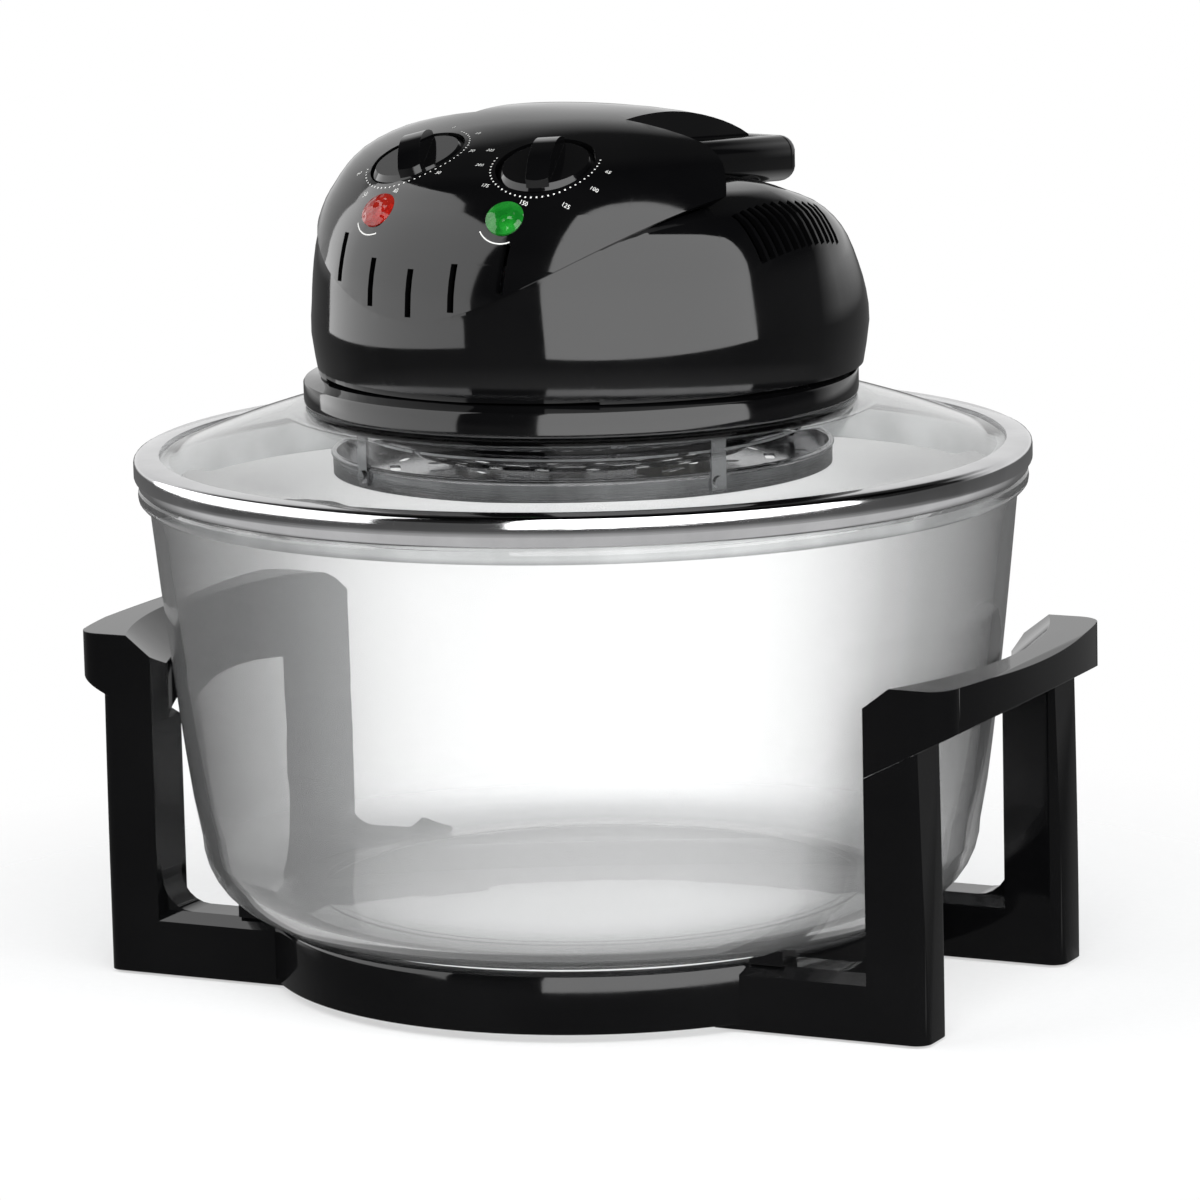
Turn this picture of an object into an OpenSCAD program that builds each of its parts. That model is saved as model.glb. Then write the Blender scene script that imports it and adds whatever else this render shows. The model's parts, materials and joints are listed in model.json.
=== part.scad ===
// Countertop halogen oven: a glass bowl in a four-legged stand, under a glass lid
// that carries the fan, the ring lamp and the controls. Millimetres, +Z up.
// The origin is on the table, on the bowl's axis. The stand's front faces -Y and
// its two grips lie on -X and +X. The lid is a part of its own that lifts off, and
// it sits on the bowl turned by lid_turn.

/* [Stand] */
// Distance of the base ring inside the bowl's foot
ring_inset = 25.5; // [22:0.5:36]
// Width of the base ring, in to out
ring_w = 8; // [6:0.5:12]
// Height of the base ring
ring_h = 23; // [16:0.5:28]
// Gap between the base ring and the table
ring_lift = 3; // [2:0.5:6]
// Reach of the posts' outer faces past the bowl's wall
post_reach = 6.7; // [5:0.1:14]
// Width of a post, seen from the front
post_w = 24; // [20:0.5:28]
// How far a post's outer face leans in toward the grip
post_draft = 2.4; // [0:0.2:4]
// Depth of a leg, front to rear
leg_depth = 23; // [18:0.5:28]
// Front face of the front legs, from the middle
leg_y = 79.5; // [76:0.5:84]
// Width of the bevels along an arm's top
arm_bevel = 4; // [1:0.5:6]
// Thickness of the leg shells
leg_wall = 3; // [2:0.5:5]
// Size of the fillet between a post and its arm
gusset = 13; // [8:0.5:18]
// Height of the lugs that carry the bowl
lug_top = 35; // [33:0.5:38]

/* [Grips] */
// Height of the top of the grips
grip_top = 136; // [128:0.5:142]
// Height of the grips' outer lip
grip_lip = 13.6; // [10:0.2:20]
// Reach of a grip's outer face past the posts
grip_reach = 18; // [14:0.5:24]
// Radius of a grip's outer face, seen from above
grip_bow = 330; // [220:5:400]
// Slope of a grip's underside
grip_slope = 0.5; // [0.2:0.05:0.6]
// Space between the bowl and the grips
grip_gap = 2.2; // [1:0.1:5]

/* [Bowl] */
// How much wider the bowl's wall is at the rim than at its foot
bowl_flare = 16.3; // [12:0.1:20]
// Height of the bowl's bottom above the table
bowl_z = 28; // [27:0.5:30]
// Height of the bowl's rim above the table
bowl_rim_z = 197; // [190:0.5:202]
// Thickness of the bowl's glass
bowl_wall = 5; // [4:0.5:6]
// Radius of the bowl's bottom corner
bowl_corner = 30; // [24:0.5:34]
// How far the bowl's rim bead stands out of its wall
bead_out = 4.2; // [3:0.1:6]

/* [Lid] */
// Angle at which the lid sits on the bowl
lid_turn = -10; // [-180:1:180]
// Outer radius of the lid's steel rim
rim_r = 175; // [165:0.5:185]
// How far the lid's rim reaches past the bowl's bead
rim_over = 1.5; // [1:0.1:3]
// Thickness of the lid's glass
lid_wall = 4; // [3:0.5:6]
// Rise of the lid's glass from its rim to its hub
lid_rise = 19; // [12:0.5:26]
// How far the collar's edge stands out from the head's neck
collar_lip = 18; // [15:0.5:22]
// How far the collar reaches over the lid's glass from the edge of its hole
hub_lap = 16; // [14:0.5:18]
// Height of the collar's outer band
collar_band = 8.8; // [6:0.2:9]

/* [Heater] */
// How far the guard tray under the lamp lies inside the collar's edge
tray_inset = 11; // [10:0.5:14]
// Height of the guard tray's wall
tray_h = 7; // [5:0.5:9]
// Radius of the ring lamp's centre line
lamp_r = 63; // [58:0.5:66]
// Outer radius of the lamp's tube
lamp_tube_r = 5.5; // [4.5:0.1:6.5]
// Radius of the reflector at its mouth
reflector_r = 82; // [78:0.5:83]
// Radius of the fan that stirs the hot air
hot_fan_r = 46; // [36:1:50]
// Radius of the fan that cools the motor
cool_fan_r = 62; // [40:1:74]

/* [Head] */
// Height of the head's lower edge
head_z = 243; // [241:0.5:246]
// Thickness of the head's shells
head_wall = 2.6; // [2:0.1:3.5]
// Distance from the middle to each knob, sideways
knob_x = 30.5; // [26:0.5:34]
// Radius of a knob's well
well_r = 19.3; // [18:0.1:22]
// Gap between a knob and its well
knob_gap = 0.7; // [0.4:0.1:1.5]
// Forward tilt of the knobs
knob_tilt = 21; // [16:1:28]
// Outward tilt of the knobs
knob_lean = 6; // [0:1:12]
// Radius of the two indicator lenses
lens_r = 7.4; // [6:0.2:9]
// Width of one slot in the front grille
slot_w = 2.8; // [2:0.2:4]
// Distance between the slots in the front grille
slot_pitch = 19.6; // [14:0.2:24]

/* [Handle] */
// Distance from the middle to the handle's outer side
handle_x = 50; // [46:0.5:54]
// Height of the handle's section
handle_t = 18; // [14:0.5:19]
// Width of the handle's section
handle_w = 13.5; // [11:0.5:15]
// Rearmost point of the handle when it is folded
handle_rear = 81.5; // [76:0.5:86]
// Distance of the handle's pivot behind the middle
pivot_y = 22; // [18:0.5:26]
// Height of the handle's pivot
pivot_z = 317.5; // [316:0.5:319]
// Radius of the pivot pins
pin_r = 3; // [2.5:0.1:4]

/* [Fits] */
// Running clearance of a shaft or pin in its bore
run_gap = 0.06; // [0.02:0.01:0.1]
// Gap between pieces that are taken apart by hand
part_gap = 0.3; // [0.2:0.05:0.6]

/* [Hidden] */
$fn = 96;

// Colours of the finishes
BLACK = "#141416";
STEEL = "#c8c8ca";
GLASS = "#bcd0d4";
GREY = "#8f9296";
RUBBER = "#2a2a2c";

// Radii and reaches that follow the lid's rim
bead_r = rim_r - rim_over;
bowl_top_r = bead_r - bead_out;
bowl_foot_r = bowl_top_r - bowl_flare;
ring_r = bowl_foot_r - ring_inset;
post_out = bowl_top_r + post_reach;
grip_out = post_out + grip_reach;

// Heights of the lid's pieces above the table
seat_z = bowl_rim_z + part_gap;
lid_z = seat_z + 6.7;
rim_z = lid_z + lid_wall;
hub_z = rim_z + lid_rise;
collar_z = hub_z + 0.6;
shield_z = collar_z + 2.4;

// Bowl: heights where its wall starts and its bead starts, and the inner radius
wall_z0 = bowl_z + bowl_corner;
bead_z = bowl_rim_z - 7;
function bowl_r_at(z) = bowl_foot_r
    + (bowl_top_r - bowl_foot_r) * pow((z - wall_z0) / (bead_z - wall_z0), 0.8);

// Places on the head, in the lid's own frame
well_depth = 6;
knob_y = -61;
knob_z = 325.8;
lens_x = 29.8;
lens_y = -86.6;
lens_z = 307.8;
lens_tilt = 49;
// Turn of the lenses outward, and of both toward +X
lens_swing = 11;
lens_skew = 7;
// Distance of the grille's middle and the seam's lowest point from the head's middle
face_mid = -5;
deck_z = 304.5;
hood_back = -16;
spine_w = 2 * (handle_x - handle_w - 0.8);
spine_end = handle_rear - handle_w - 2;
pocket_y = pivot_y - handle_t / 2 - 3.5;
scoop_w = 54;
scoop_z = 288;

// Depth of the skirt at the head's front, and where it ends at the sides
skirt_drop = 4.6;
skirt_end = 18;
// Head outlines as rows of height, half width, front reach and rear reach
SHELL_ROWS = [
    [-skirt_drop, 106.2, 106.2, 106.2], [11, 108.6, 108.6, 108.6], [23, 107.8, 108.6, 107],
    [34, 106.6, 108.6, 100.4], [45, 105, 107.5, 91], [53, 102.5, 106, 80],
    [60, 98.5, 102, 64], [65, 91, 94, 46], [69, 81, 83, 32], [71, 66, 65, 20]];
HOOD_ROWS = [
    [22, 99.8, 103, 100], [36, 99.6, 102, 100], [46, 99.3, 99.6, 99],
    [55, 98.4, 96, 97], [63, 96.5, 91, 92], [69, 93.5, 86, 85], [75, 90, 80.5, 79],
    [81, 85.5, 70, 71], [86, 77.5, 57.5, 60], [90, 66, 45.5, 48],
    [93.5, 50, 33, 35], [96, 32, 20, 21], [97, 12, 8, 8]];
// The neck under the head, and what is set out from it
neck_inset = 16.2;
neck_r = SHELL_ROWS[0][1] - neck_inset;
collar_r = neck_r + collar_lip;
hub_hole_r = collar_r - hub_lap;
tray_r = collar_r - tray_inset;
// Distance of the shell's widest line behind the middle
SHELL_BACK = 6.9;
// Roundness of the outlines seen from above, where 2 is an ellipse
SHELL_PLAN = 2;
HOOD_PLAN = 2.2;

// Smooth value at place t between the rows of a table, for one column
function row(rows, i) = rows[max(0, min(len(rows) - 1, i))];
function blend(rows, k, t) = let (i = floor(t), f = t - i,
    a = row(rows, i - 1)[k], b = row(rows, i)[k],
    c = row(rows, i + 1)[k], d = row(rows, i + 2)[k])
    b + 0.5 * f * (c - a + f * (2*a - 5*b + 4*c - d + f * (3*(b - c) + d - a)));

// Point of a rounded outline at an angle
function outline(a, front, back, e, t) = [
    a * sign(cos(t)) * pow(abs(cos(t)), 2 / e),
    (sin(t) < 0 ? front : back) * sign(sin(t)) * pow(abs(sin(t)), 2 / e)];

// Solid through the rows of a table, drawn in by an inset
module skin(rows, e, inset, steps, sides) {
    last = (len(rows) - 1) * steps;
    top = rows[len(rows) - 1][0] - inset;
    pts = [for (i = [0:last], j = [0:sides - 1])
        let (t = i / steps, p = outline(
            max(1, blend(rows, 1, t) - inset), max(1, blend(rows, 2, t) - inset),
            max(1, blend(rows, 3, t) - inset), e, 360 * j / sides))
        [p[0], p[1], head_z + (i == 0 && inset > 0 ? rows[0][0] - 1
            : min(blend(rows, 0, t), top - 0.05 * (last - i)))]];
    sides_of = [for (i = [0:last - 1], j = [0:sides - 1])
        let (k = (j + 1) % sides, a = i * sides, b = a + sides)
        each [[a + j, b + j, b + k], [a + j, b + k, a + k]]];
    caps = [[for (j = [0:sides - 1]) j],
        [for (j = [sides - 1:-1:0]) last * sides + j]];
    polyhedron(pts, concat(caps, sides_of));
}

module shell_skin(inset, steps, sides) {
    translate([0, SHELL_BACK, 0]) skin(SHELL_ROWS, SHELL_PLAN, inset, steps, sides);
}

module hood_skin(inset, steps, sides) {
    skin(HOOD_ROWS, HOOD_PLAN, inset, steps, sides);
}

module in_lid() {
    rotate([0, 0, lid_turn]) children();
}

// Places a child at a knob, with +Z along the knob's axis; side is -1 or 1
module at_knob(side) {
    translate([side * knob_x, knob_y, knob_z])
        rotate([knob_tilt, side * knob_lean, 0]) children();
}

module at_lens(side) {
    translate([side * lens_x, lens_y, lens_z])
        rotate([lens_tilt, 0, side * lens_swing + lens_skew]) children();
}

// Ring of revolution between two radii and two heights
module tube_z(r1, r2, z1, z2) {
    translate([0, 0, z1]) difference() {
        cylinder(r = r2, h = z2 - z1);
        translate([0, 0, -1]) cylinder(r = r1, h = z2 - z1 + 2);
    }
}

// Pan-head screw with its head at the origin, pointing along -Z
module screw(r, length, head_r, head_h) {
    translate([0, 0, -length]) cylinder(r = r, h = length + 0.01, $fn = 32);
    difference() {
        cylinder(r = head_r, h = head_h, $fn = 32);
        for (a = [0, 90]) rotate([0, 0, a])
            translate([-head_r * 0.6, -0.5, head_h * 0.45])
                cube([head_r * 1.2, 1, head_h]);
    }
}

// The stand

// Rounding of the ring's outer top edge, and the height where arms and ring end
ring_edge = 2.5;
arm_h = ring_lift + ring_h;
// Gap under the legs' lower edges, filled by the foot pads
sole_z = 0.6;
post_in = post_out - post_w;
arm_in = ring_r - 40;

module base_ring() {
    color(BLACK) difference() {
        rotate_extrude() polygon([
            [ring_r - ring_w, ring_lift], [ring_r, ring_lift],
            [ring_r, arm_h - ring_edge],
            [ring_r - 0.28 * ring_edge, arm_h - 0.28 * ring_edge],
            [ring_r - ring_edge, arm_h], [ring_r - ring_w + 1, arm_h],
            [ring_r - ring_w, arm_h - 1]]);
        leg_screw_set();
    }
}

// Countersunk screws that hold the ring to the tongues of the four legs
leg_mid_y = leg_y - leg_depth / 2;
leg_screw_x = sqrt(pow(ring_r - ring_w / 2, 2) - pow(leg_mid_y, 2));
small_screw_r = 1.6;
module leg_screw_set() {
    for (sx = [-1, 1], sy = [-1, 1])
        translate([sx * leg_screw_x, sy * leg_mid_y, sole_z]) {
            cylinder(r1 = 2 * small_screw_r, r2 = small_screw_r, h = 1.7, $fn = 32);
            cylinder(r = small_screw_r, h = ring_lift + ring_h * 0.7 - sole_z, $fn = 32);
        }
}

module leg_screws() {
    color(GREY) leg_screw_set();
}

// Height of the plane between posts and grips, at a distance from the middle
function grip_under(x) = grip_top - grip_lip + (x - grip_out) * grip_slope;

// Side view of a post, its outer face leaning in by post_draft toward the top
module post_profile(inset) {
    x1 = post_in + inset;
    x2 = post_out - inset;
    z0 = inset > 0 ? -1 : sole_z;
    cut = 0.15 + inset * 1.1;
    polygon([[x1, z0], [x2, z0], [x2 - post_draft, grip_under(x2 - post_draft) - cut],
        [x1, grip_under(x1) - cut]]);
}

// Section across an arm, bevelled along both top edges
module arm_profile(inset) {
    w = leg_depth / 2 - inset;
    h = arm_h - inset;
    z0 = inset > 0 ? -1 : sole_z;
    polygon([[-w, z0], [w, z0], [w, h - arm_bevel], [w - arm_bevel, h],
        [arm_bevel - w, h], [-w, h - arm_bevel]]);
}

module leg_block(inset) {
    translate([0, -leg_y + leg_depth - inset, 0]) rotate([90, 0, 0])
        linear_extrude(leg_depth - 2 * inset) post_profile(inset);
    translate([arm_in, -leg_mid_y, 0]) rotate([90, 0, 90])
        linear_extrude(post_in + leg_wall - arm_in) arm_profile(inset);
}

// Fillet between a post and its arm
module leg_gusset() {
    w = leg_depth - 2 * arm_bevel;
    translate([0, -leg_mid_y + w / 2, 0]) rotate([90, 0, 0]) linear_extrude(w)
        polygon(concat(
            [[post_in + 1, arm_h - 1], [post_in + 1, arm_h + gusset]],
            [for (a = [0:15:90]) [post_in - gusset * (1 - cos(a)),
                arm_h + gusset * (1 - sin(a))]],
            [[post_in - gusset, arm_h - 1]]));
}

// Plan of a leg with its outer corners rounded
leg_corner = 6;
module leg_plan(r) {
    translate([arm_in, -leg_y]) square([post_out - arm_in - r, leg_depth]);
    translate([arm_in, -leg_y + r]) square([post_out - arm_in, leg_depth - 2 * r]);
    for (y = [-leg_y + r, -leg_y + leg_depth - r])
        translate([post_out - r, y]) circle(r = r, $fn = 48);
}

// Screw up through the top of each post into the grip
grip_screw_x = post_in + post_w / 2;
grip_screw_z = grip_under(grip_screw_x) - leg_wall - 2.6;
grip_screw_r = 2;
grip_screw_l = 20;
module grip_screw_set(side) {
    for (sy = [-1, 1])
        translate([side * grip_screw_x, sy * leg_mid_y, grip_screw_z])
            rotate([180, 0, 0]) screw(grip_screw_r, grip_screw_l, grip_screw_r * 2, 2.2);
}

foot_x = post_out - post_w / 2;
foot_r = 9;
foot_h = sole_z + 2;
module foot_set() {
    for (sx = [-1, 1], sy = [-1, 1])
        translate([sx * foot_x, sy * leg_mid_y, 0]) {
            cylinder(r = foot_r, h = foot_h);
            translate([0, 0, foot_h]) cylinder(r = 4, h = 3);
        }
}

module leg(sx, sy) {
    color(BLACK) mirror([sx < 0 ? 1 : 0, 0, 0])
        mirror([0, sy > 0 ? 1 : 0, 0]) difference() {
            union() {
                difference() {
                    intersection() {
                        leg_block(0);
                        linear_extrude(grip_top) leg_plan(leg_corner);
                    }
                    difference() {
                        leg_block(leg_wall);
                        cylinder(r = ring_r + leg_wall, h = grip_top);
                    }
                }
                leg_gusset();
                // Boss for the grip's screw, and the plate that holds the foot
                intersection() {
                    leg_block(0);
                    translate([grip_screw_x, -leg_mid_y, grip_screw_z])
                        cylinder(r = 2.75 * grip_screw_r, h = grip_screw_l);
                }
                translate([foot_x, -leg_mid_y, sole_z])
                    intersection() {
                        cylinder(r = foot_r + 2, h = foot_h + 1.4);
                        translate([-post_w / 2 + 1, -leg_depth / 2 + 1, 0])
                            cube([post_w - 2, leg_depth - 2, foot_h + 1.4]);
                    }
                for (a = [0, 90])
                    translate([foot_x, -leg_mid_y, sole_z + 1]) rotate([0, 0, a])
                        translate([-leg_depth / 2 + 1.5, -1, 0])
                            cube([leg_depth - 3, 2, 3]);
            }
            translate([0, 0, ring_lift - 0.1]) cylinder(r = ring_r + 0.1, h = grip_top);
            translate([0, 0, -1]) cylinder(r = ring_r - ring_w, h = ring_lift + 2);
            leg_screw_set();
            foot_set();
            grip_screw_set(1);
        }
}

module leg_front_left() { leg(-1, -1); }
module leg_front_right() { leg(1, -1); }
module leg_rear_left() { leg(-1, 1); }
module leg_rear_right() { leg(1, 1); }

module foot_pads() {
    color(RUBBER) foot_set();
}

// Lugs on the arms, scooped to the bowl's corner
lug_x = ring_r - 17.5;
lug_y = leg_y - 8.5;
lug_w = 14;
lug_r = 6.5;
module bowl_lugs() {
    color(BLACK) difference() {
        for (sx = [-1, 1], sy = [-1, 1])
            translate([sx * lug_x - lug_w / 2, sy * lug_y, arm_h]) {
                translate([0, -lug_r, 0]) cube([lug_w, 2 * lug_r, lug_top - arm_h - 3]);
                translate([0, 0, lug_top - arm_h - lug_r]) rotate([0, 90, 0])
                    cylinder(r = lug_r, h = lug_w, $fn = 48);
            }
        bowl_body(part_gap);
        translate([0, 0, arm_h - 2 * lug_r]) cylinder(r = post_out, h = 2 * lug_r);
    }
}

grip_in_r = bowl_r_at(grip_top) + grip_gap;
// Width of the flat on a grip's top, and the slope of the chamfer inside it
grip_flat_r = grip_out - 13;
grip_pitch = 0.85;
// Width of the bevel outside it
grip_edge = 3.5;
// Radius of the corners seen from above, and how far they lie inside the middle
grip_corner = 11;
grip_end = grip_bow - sqrt(pow(grip_bow, 2) - pow(leg_y - grip_corner, 2)) + 0.3;
module grip(side) {
    color(BLACK) mirror([side < 0 ? 1 : 0, 0, 0]) difference() {
        intersection() {
            translate([0, leg_y, 0]) rotate([90, 0, 0]) linear_extrude(2 * leg_y)
                polygon([[post_in, grip_under(post_in)],
                    [grip_out + 2, grip_under(grip_out + 2)],
                    [grip_out + 2, grip_top - 1.5], [grip_out - grip_edge, grip_top],
                    [post_in, grip_top]]);
            translate([grip_out - grip_bow, 0, 0]) cylinder(r = grip_bow, h = grip_top,
                $fn = 180);
            linear_extrude(grip_top) grip_plan(grip_corner);
        }
        translate([0, 0, -1]) cylinder(r = grip_in_r, h = grip_top + 2);
        // Chamfer along the inner top edge
        rotate_extrude() polygon([
            [grip_in_r - 4, grip_top - (grip_flat_r - grip_in_r + 4) * grip_pitch],
            [grip_flat_r, grip_top], [grip_flat_r, grip_top + 2],
            [grip_in_r - 4, grip_top + 2]]);
        grip_screw_set(1);
    }
}

module grip_plan(r) {
    translate([arm_in, -leg_y]) square([grip_out - grip_end - r - arm_in, 2 * leg_y]);
    translate([arm_in, -leg_y + r]) square([grip_out + 1 - arm_in, 2 * (leg_y - r)]);
    for (y = [-leg_y + r, leg_y - r]) translate([grip_out - grip_end - r, y])
        circle(r = r, $fn = 48);
}

module left_grip() { grip(-1); }
module right_grip() { grip(1); }

module grip_screws() {
    color(GREY) for (side = [-1, 1]) grip_screw_set(side);
}

// The bowl

corner_r0 = bowl_foot_r - bowl_corner;
// The glass ring under the bowl
foot_ring_r = corner_r0 - 14;
foot_ring_w = 4;
foot_ring_h = 1.4;
function bowl_outer(g) = concat(
    [[0, bowl_z - g], [corner_r0, bowl_z - g]],
    [for (a = [10:10:80]) [corner_r0 + (bowl_corner + g) * sin(a),
        wall_z0 - (bowl_corner + g) * cos(a)]],
    [for (i = [0:8]) let (z = wall_z0 + (bead_z - wall_z0) * i / 8)
        [bowl_r_at(z) + g, z]]);

module bowl_body(g) {
    rotate_extrude() polygon(concat(bowl_outer(g), [[0, bead_z]]));
    tube_z(foot_ring_r - foot_ring_w - g, foot_ring_r + g, bowl_z - foot_ring_h - g, bowl_z);
}

module glass_bowl() {
    inner = [for (i = [8:-1:0]) let (z = wall_z0 + (bead_z - wall_z0) * i / 8)
        [bowl_r_at(z) - bowl_wall, z]];
    corner = [for (a = [80:-10:10]) [corner_r0 + (bowl_corner - bowl_wall) * sin(a),
        wall_z0 - (bowl_corner - bowl_wall) * cos(a)]];
    color(GLASS, 0.4) union() {
        rotate_extrude() polygon(concat(bowl_outer(0), [
            [bead_r - 1.5, bead_z + 0.6], [bead_r - 0.3, bead_z + 2],
            [bead_r, bead_z + 3.6], [bead_r - 0.2, bead_z + 5.6],
            [bead_r - 1.2, bead_z + 6.7], [bead_r - 2.4, bowl_rim_z],
            [bowl_top_r - bowl_wall + 1.2, bowl_rim_z],
            [bowl_top_r - bowl_wall, bowl_rim_z - 1.2]],
            inner, corner, [[corner_r0, bowl_z + bowl_wall], [0, bowl_z + bowl_wall]]));
        tube_z(foot_ring_r - foot_ring_w, foot_ring_r, bowl_z - foot_ring_h, bowl_z + 0.5);
    }
}

// The lid's glass and rim

glass_edge_r = rim_r - 1.6;
flat_r = glass_edge_r - 10.4;
hub_flat_r = collar_r - 2;
function lid_curve(drop) = [for (i = [0:8]) let (t = i / 8)
    [hub_flat_r + (flat_r - hub_flat_r) * t + drop * 0.3,
        hub_z - lid_rise * t + 4.4 * t * (1 - t) - drop]];
function backwards(list) = [for (i = [len(list) - 1:-1:0]) list[i]];

module lid_glass() {
    color(GLASS, 0.4) in_lid() rotate_extrude() polygon(concat(
        [[hub_hole_r, hub_z]], lid_curve(0),
        [[glass_edge_r - 0.6, rim_z], [glass_edge_r, rim_z - 0.6],
            [glass_edge_r, lid_z + 0.6], [glass_edge_r - 0.6, lid_z]],
        backwards(lid_curve(lid_wall)), [[hub_hole_r, hub_z - lid_wall]]));
}

module lid_rim() {
    color(STEEL) in_lid() rotate_extrude() polygon([
        [flat_r + 2, rim_z], [flat_r + 2, rim_z + 0.9], [rim_r - 2.2, rim_z + 0.8],
        [rim_r - 0.8, rim_z + 0.1], [rim_r - 0.2, rim_z - 0.7], [rim_r, rim_z - 1.8],
        [rim_r, lid_z - 2.8], [rim_r - 0.3, lid_z - 3.6], [rim_r - 1.4, lid_z - 5],
        [rim_r - 1.7, seat_z + 0.1], [rim_r - 2.7, seat_z + 0.1],
        [rim_r - 2.5, lid_z - 4.7], [rim_r - 1, lid_z - 2.8],
        [rim_r - 1, rim_z - 1.6], [rim_r - 1.6, rim_z]]);
}

lip_r = bowl_top_r - bowl_wall - 0.7;
module lid_seal() {
    color(RUBBER) in_lid() rotate_extrude() polygon([
        [lip_r - 2.6, lid_z], [rim_r - 2.8, lid_z], [rim_r - 2.8, seat_z],
        [lip_r, seat_z], [lip_r - 0.4, seat_z - 6], [lip_r - 2.6, seat_z - 6]]);
}

// The collar, and the plates that clamp the glass

collar_top = collar_z + collar_band;
// Fins round the rear and the sides of the neck
fin_l = 10;
fin_w = 2;
module collar() {
    color(BLACK) in_lid() {
        rotate_extrude() polygon([
            [collar_r - 0.4, collar_z], [collar_r, collar_z + 0.6],
            [collar_r, collar_top - 0.8], [collar_r - 0.5, collar_top],
            [collar_r - 7.5, collar_top + 1.2], [collar_r - 8, collar_top + 1.5],
            [collar_r - 12, collar_top + 1.7], [neck_r, collar_top + 2.2],
            [neck_r, head_z + 3], [neck_r - 2.6, head_z + 3],
            [neck_r - 2.6, collar_top + 0.2], [collar_r - 8.4, collar_top - 0.8],
            [collar_r - 2.6, collar_top - 2.2], [collar_r - 2.6, collar_z]]);
        for (a = [-14:8:194]) rotate([0, 0, a])
            translate([neck_r - 1, -fin_w / 2, collar_top + 1.2])
                cube([fin_l, fin_w, head_z - part_gap - collar_top - 1.2]);
    }
}

module collar_seal() {
    color(RUBBER) in_lid() tube_z(hub_hole_r + 0.5, collar_r - 0.6, hub_z, collar_z);
}

// Lid screws and spacers lie on circles around the axis
frame_screw_r = hub_hole_r - 4;
module frame_screw_set(r) {
    for (a = [45:90:315]) rotate([0, 0, a])
        translate([frame_screw_r, 0, frame_z]) rotate([180, 0, 0])
            screw(r, shield_z + 1 - frame_z, r * 2, 1.8);
}

module frame_screws() {
    color(GREY) in_lid() {
        frame_screw_set(small_screw_r);
        for (a = [45:90:315]) rotate([0, 0, a])
            translate([frame_screw_r, 0, collar_z + 1.2]) difference() {
                cylinder(r = 3.1, h = 2, $fn = 6);
                cylinder(r = 1.6, h = 9, center = true, $fn = 32);
            }
    }
}

frame_z = hub_z - lid_wall - 1.2;
tray_z = frame_z - 22;
guard_post_w = 6.5;
module guard_frame() {
    color(STEEL) in_lid() difference() {
        union() {
            tube_z(hub_hole_r - 8, collar_r - 5, frame_z, frame_z + 1.2);
            for (a = [-22.5:90:247.5]) rotate([0, 0, a])
                translate([tray_r + 0.05, -guard_post_w / 2, tray_z + 1.5])
                    cube([1.2, guard_post_w, frame_z - tray_z - 1]);
        }
        frame_screw_set(small_screw_r);
        rivet_set();
    }
}

// Rivets through the guard tray's wall and the frame's posts
module rivet_set() {
    for (a = [-22.5:90:247.5]) rotate([0, 0, a])
        translate([tray_r - 2, 0, tray_z + 4.6]) rotate([0, 90, 0]) {
            cylinder(r = 1.4, h = 4.2, $fn = 32);
            cylinder(r = 2.4, h = 1, $fn = 32);
            translate([0, 0, 3.25]) cylinder(r = 2.4, h = 1, $fn = 32);
        }
}

module guard_rivets() {
    color(STEEL) in_lid() rivet_set();
}

// Rows of round holes and slots in the tray's floor
module tray_holes() {
    for (k = [0:29]) rotate(k * 12) translate([tray_r - 10, 0])
        circle(r = 2.6, $fn = 24);
    for (k = [0:17]) rotate(k * 20) translate([tray_r - 24, 0]) slot_2d(4.2, 15);
    for (k = [0:17]) rotate(k * 20 + 10) translate([tray_r - 39, 0])
        circle(r = 3, $fn = 24);
    for (k = [0:11]) rotate(k * 30) translate([tray_r - 54, 0]) slot_2d(4.2, 13);
    for (k = [0:8]) rotate(k * 40) translate([tray_r - 70, 0]) circle(r = 3, $fn = 24);
    for (k = [0:3]) rotate(k * 90) translate([11, 0]) slot_2d(4.2, 9);
}

module slot_2d(w, l) {
    square([w, l - w], center = true);
    for (s = [-1, 1]) translate([0, s * (l - w) / 2]) circle(r = w / 2, $fn = 24);
}

module guard_tray() {
    color(STEEL) in_lid() difference() {
        union() {
            translate([0, 0, tray_z]) linear_extrude(1) difference() {
                circle(r = tray_r - 1);
                tray_holes();
            }
            tube_z(tray_r - 1, tray_r, tray_z, tray_z + tray_h);
            translate([0, 0, tray_z + tray_h + 0.5]) rotate_extrude()
                translate([tray_r - 0.5, 0]) circle(r = 1.2, $fn = 24);
        }
        rivet_set();
        // The rolled rim stops at the frame's posts
        for (a = [-22.5:90:247.5]) rotate([0, 0, a])
            translate([tray_r + 0.02, -guard_post_w / 2 - 0.75, tray_z + tray_h - 2])
                cube([3, guard_post_w + 1.5, 5]);
    }
}

// The heater

lamp_z = tray_z + 12.2;
reflector_top = collar_z - 1.2;
module reflector() {
    r = reflector_r;
    z = reflector_top;
    color("#dcdcde") in_lid() rotate_extrude() polygon([
        [14, z - 0.9], [r - 18, z - 0.9], [r - 12.6, z - 2.2], [r - 7, z - 5.6],
        [r - 3, z - 9.4], [r, z - 13.2], [r + 1.4, z - 13.2], [r + 1.4, z - 12.3],
        [r + 0.5, z - 12.3], [r - 2.3, z - 8.8], [r - 6.4, z - 4.9],
        [r - 12.3, z - 1.3], [r - 18, z], [14, z]]);
}

// Part of a ring around the axis, open by a gap at the rear
module open_ring(r, tube, gap) {
    rotate([0, 0, 90 + gap]) rotate_extrude(angle = 360 - 2 * gap)
        translate([r, 0]) circle(r = tube, $fn = 32);
}

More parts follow.
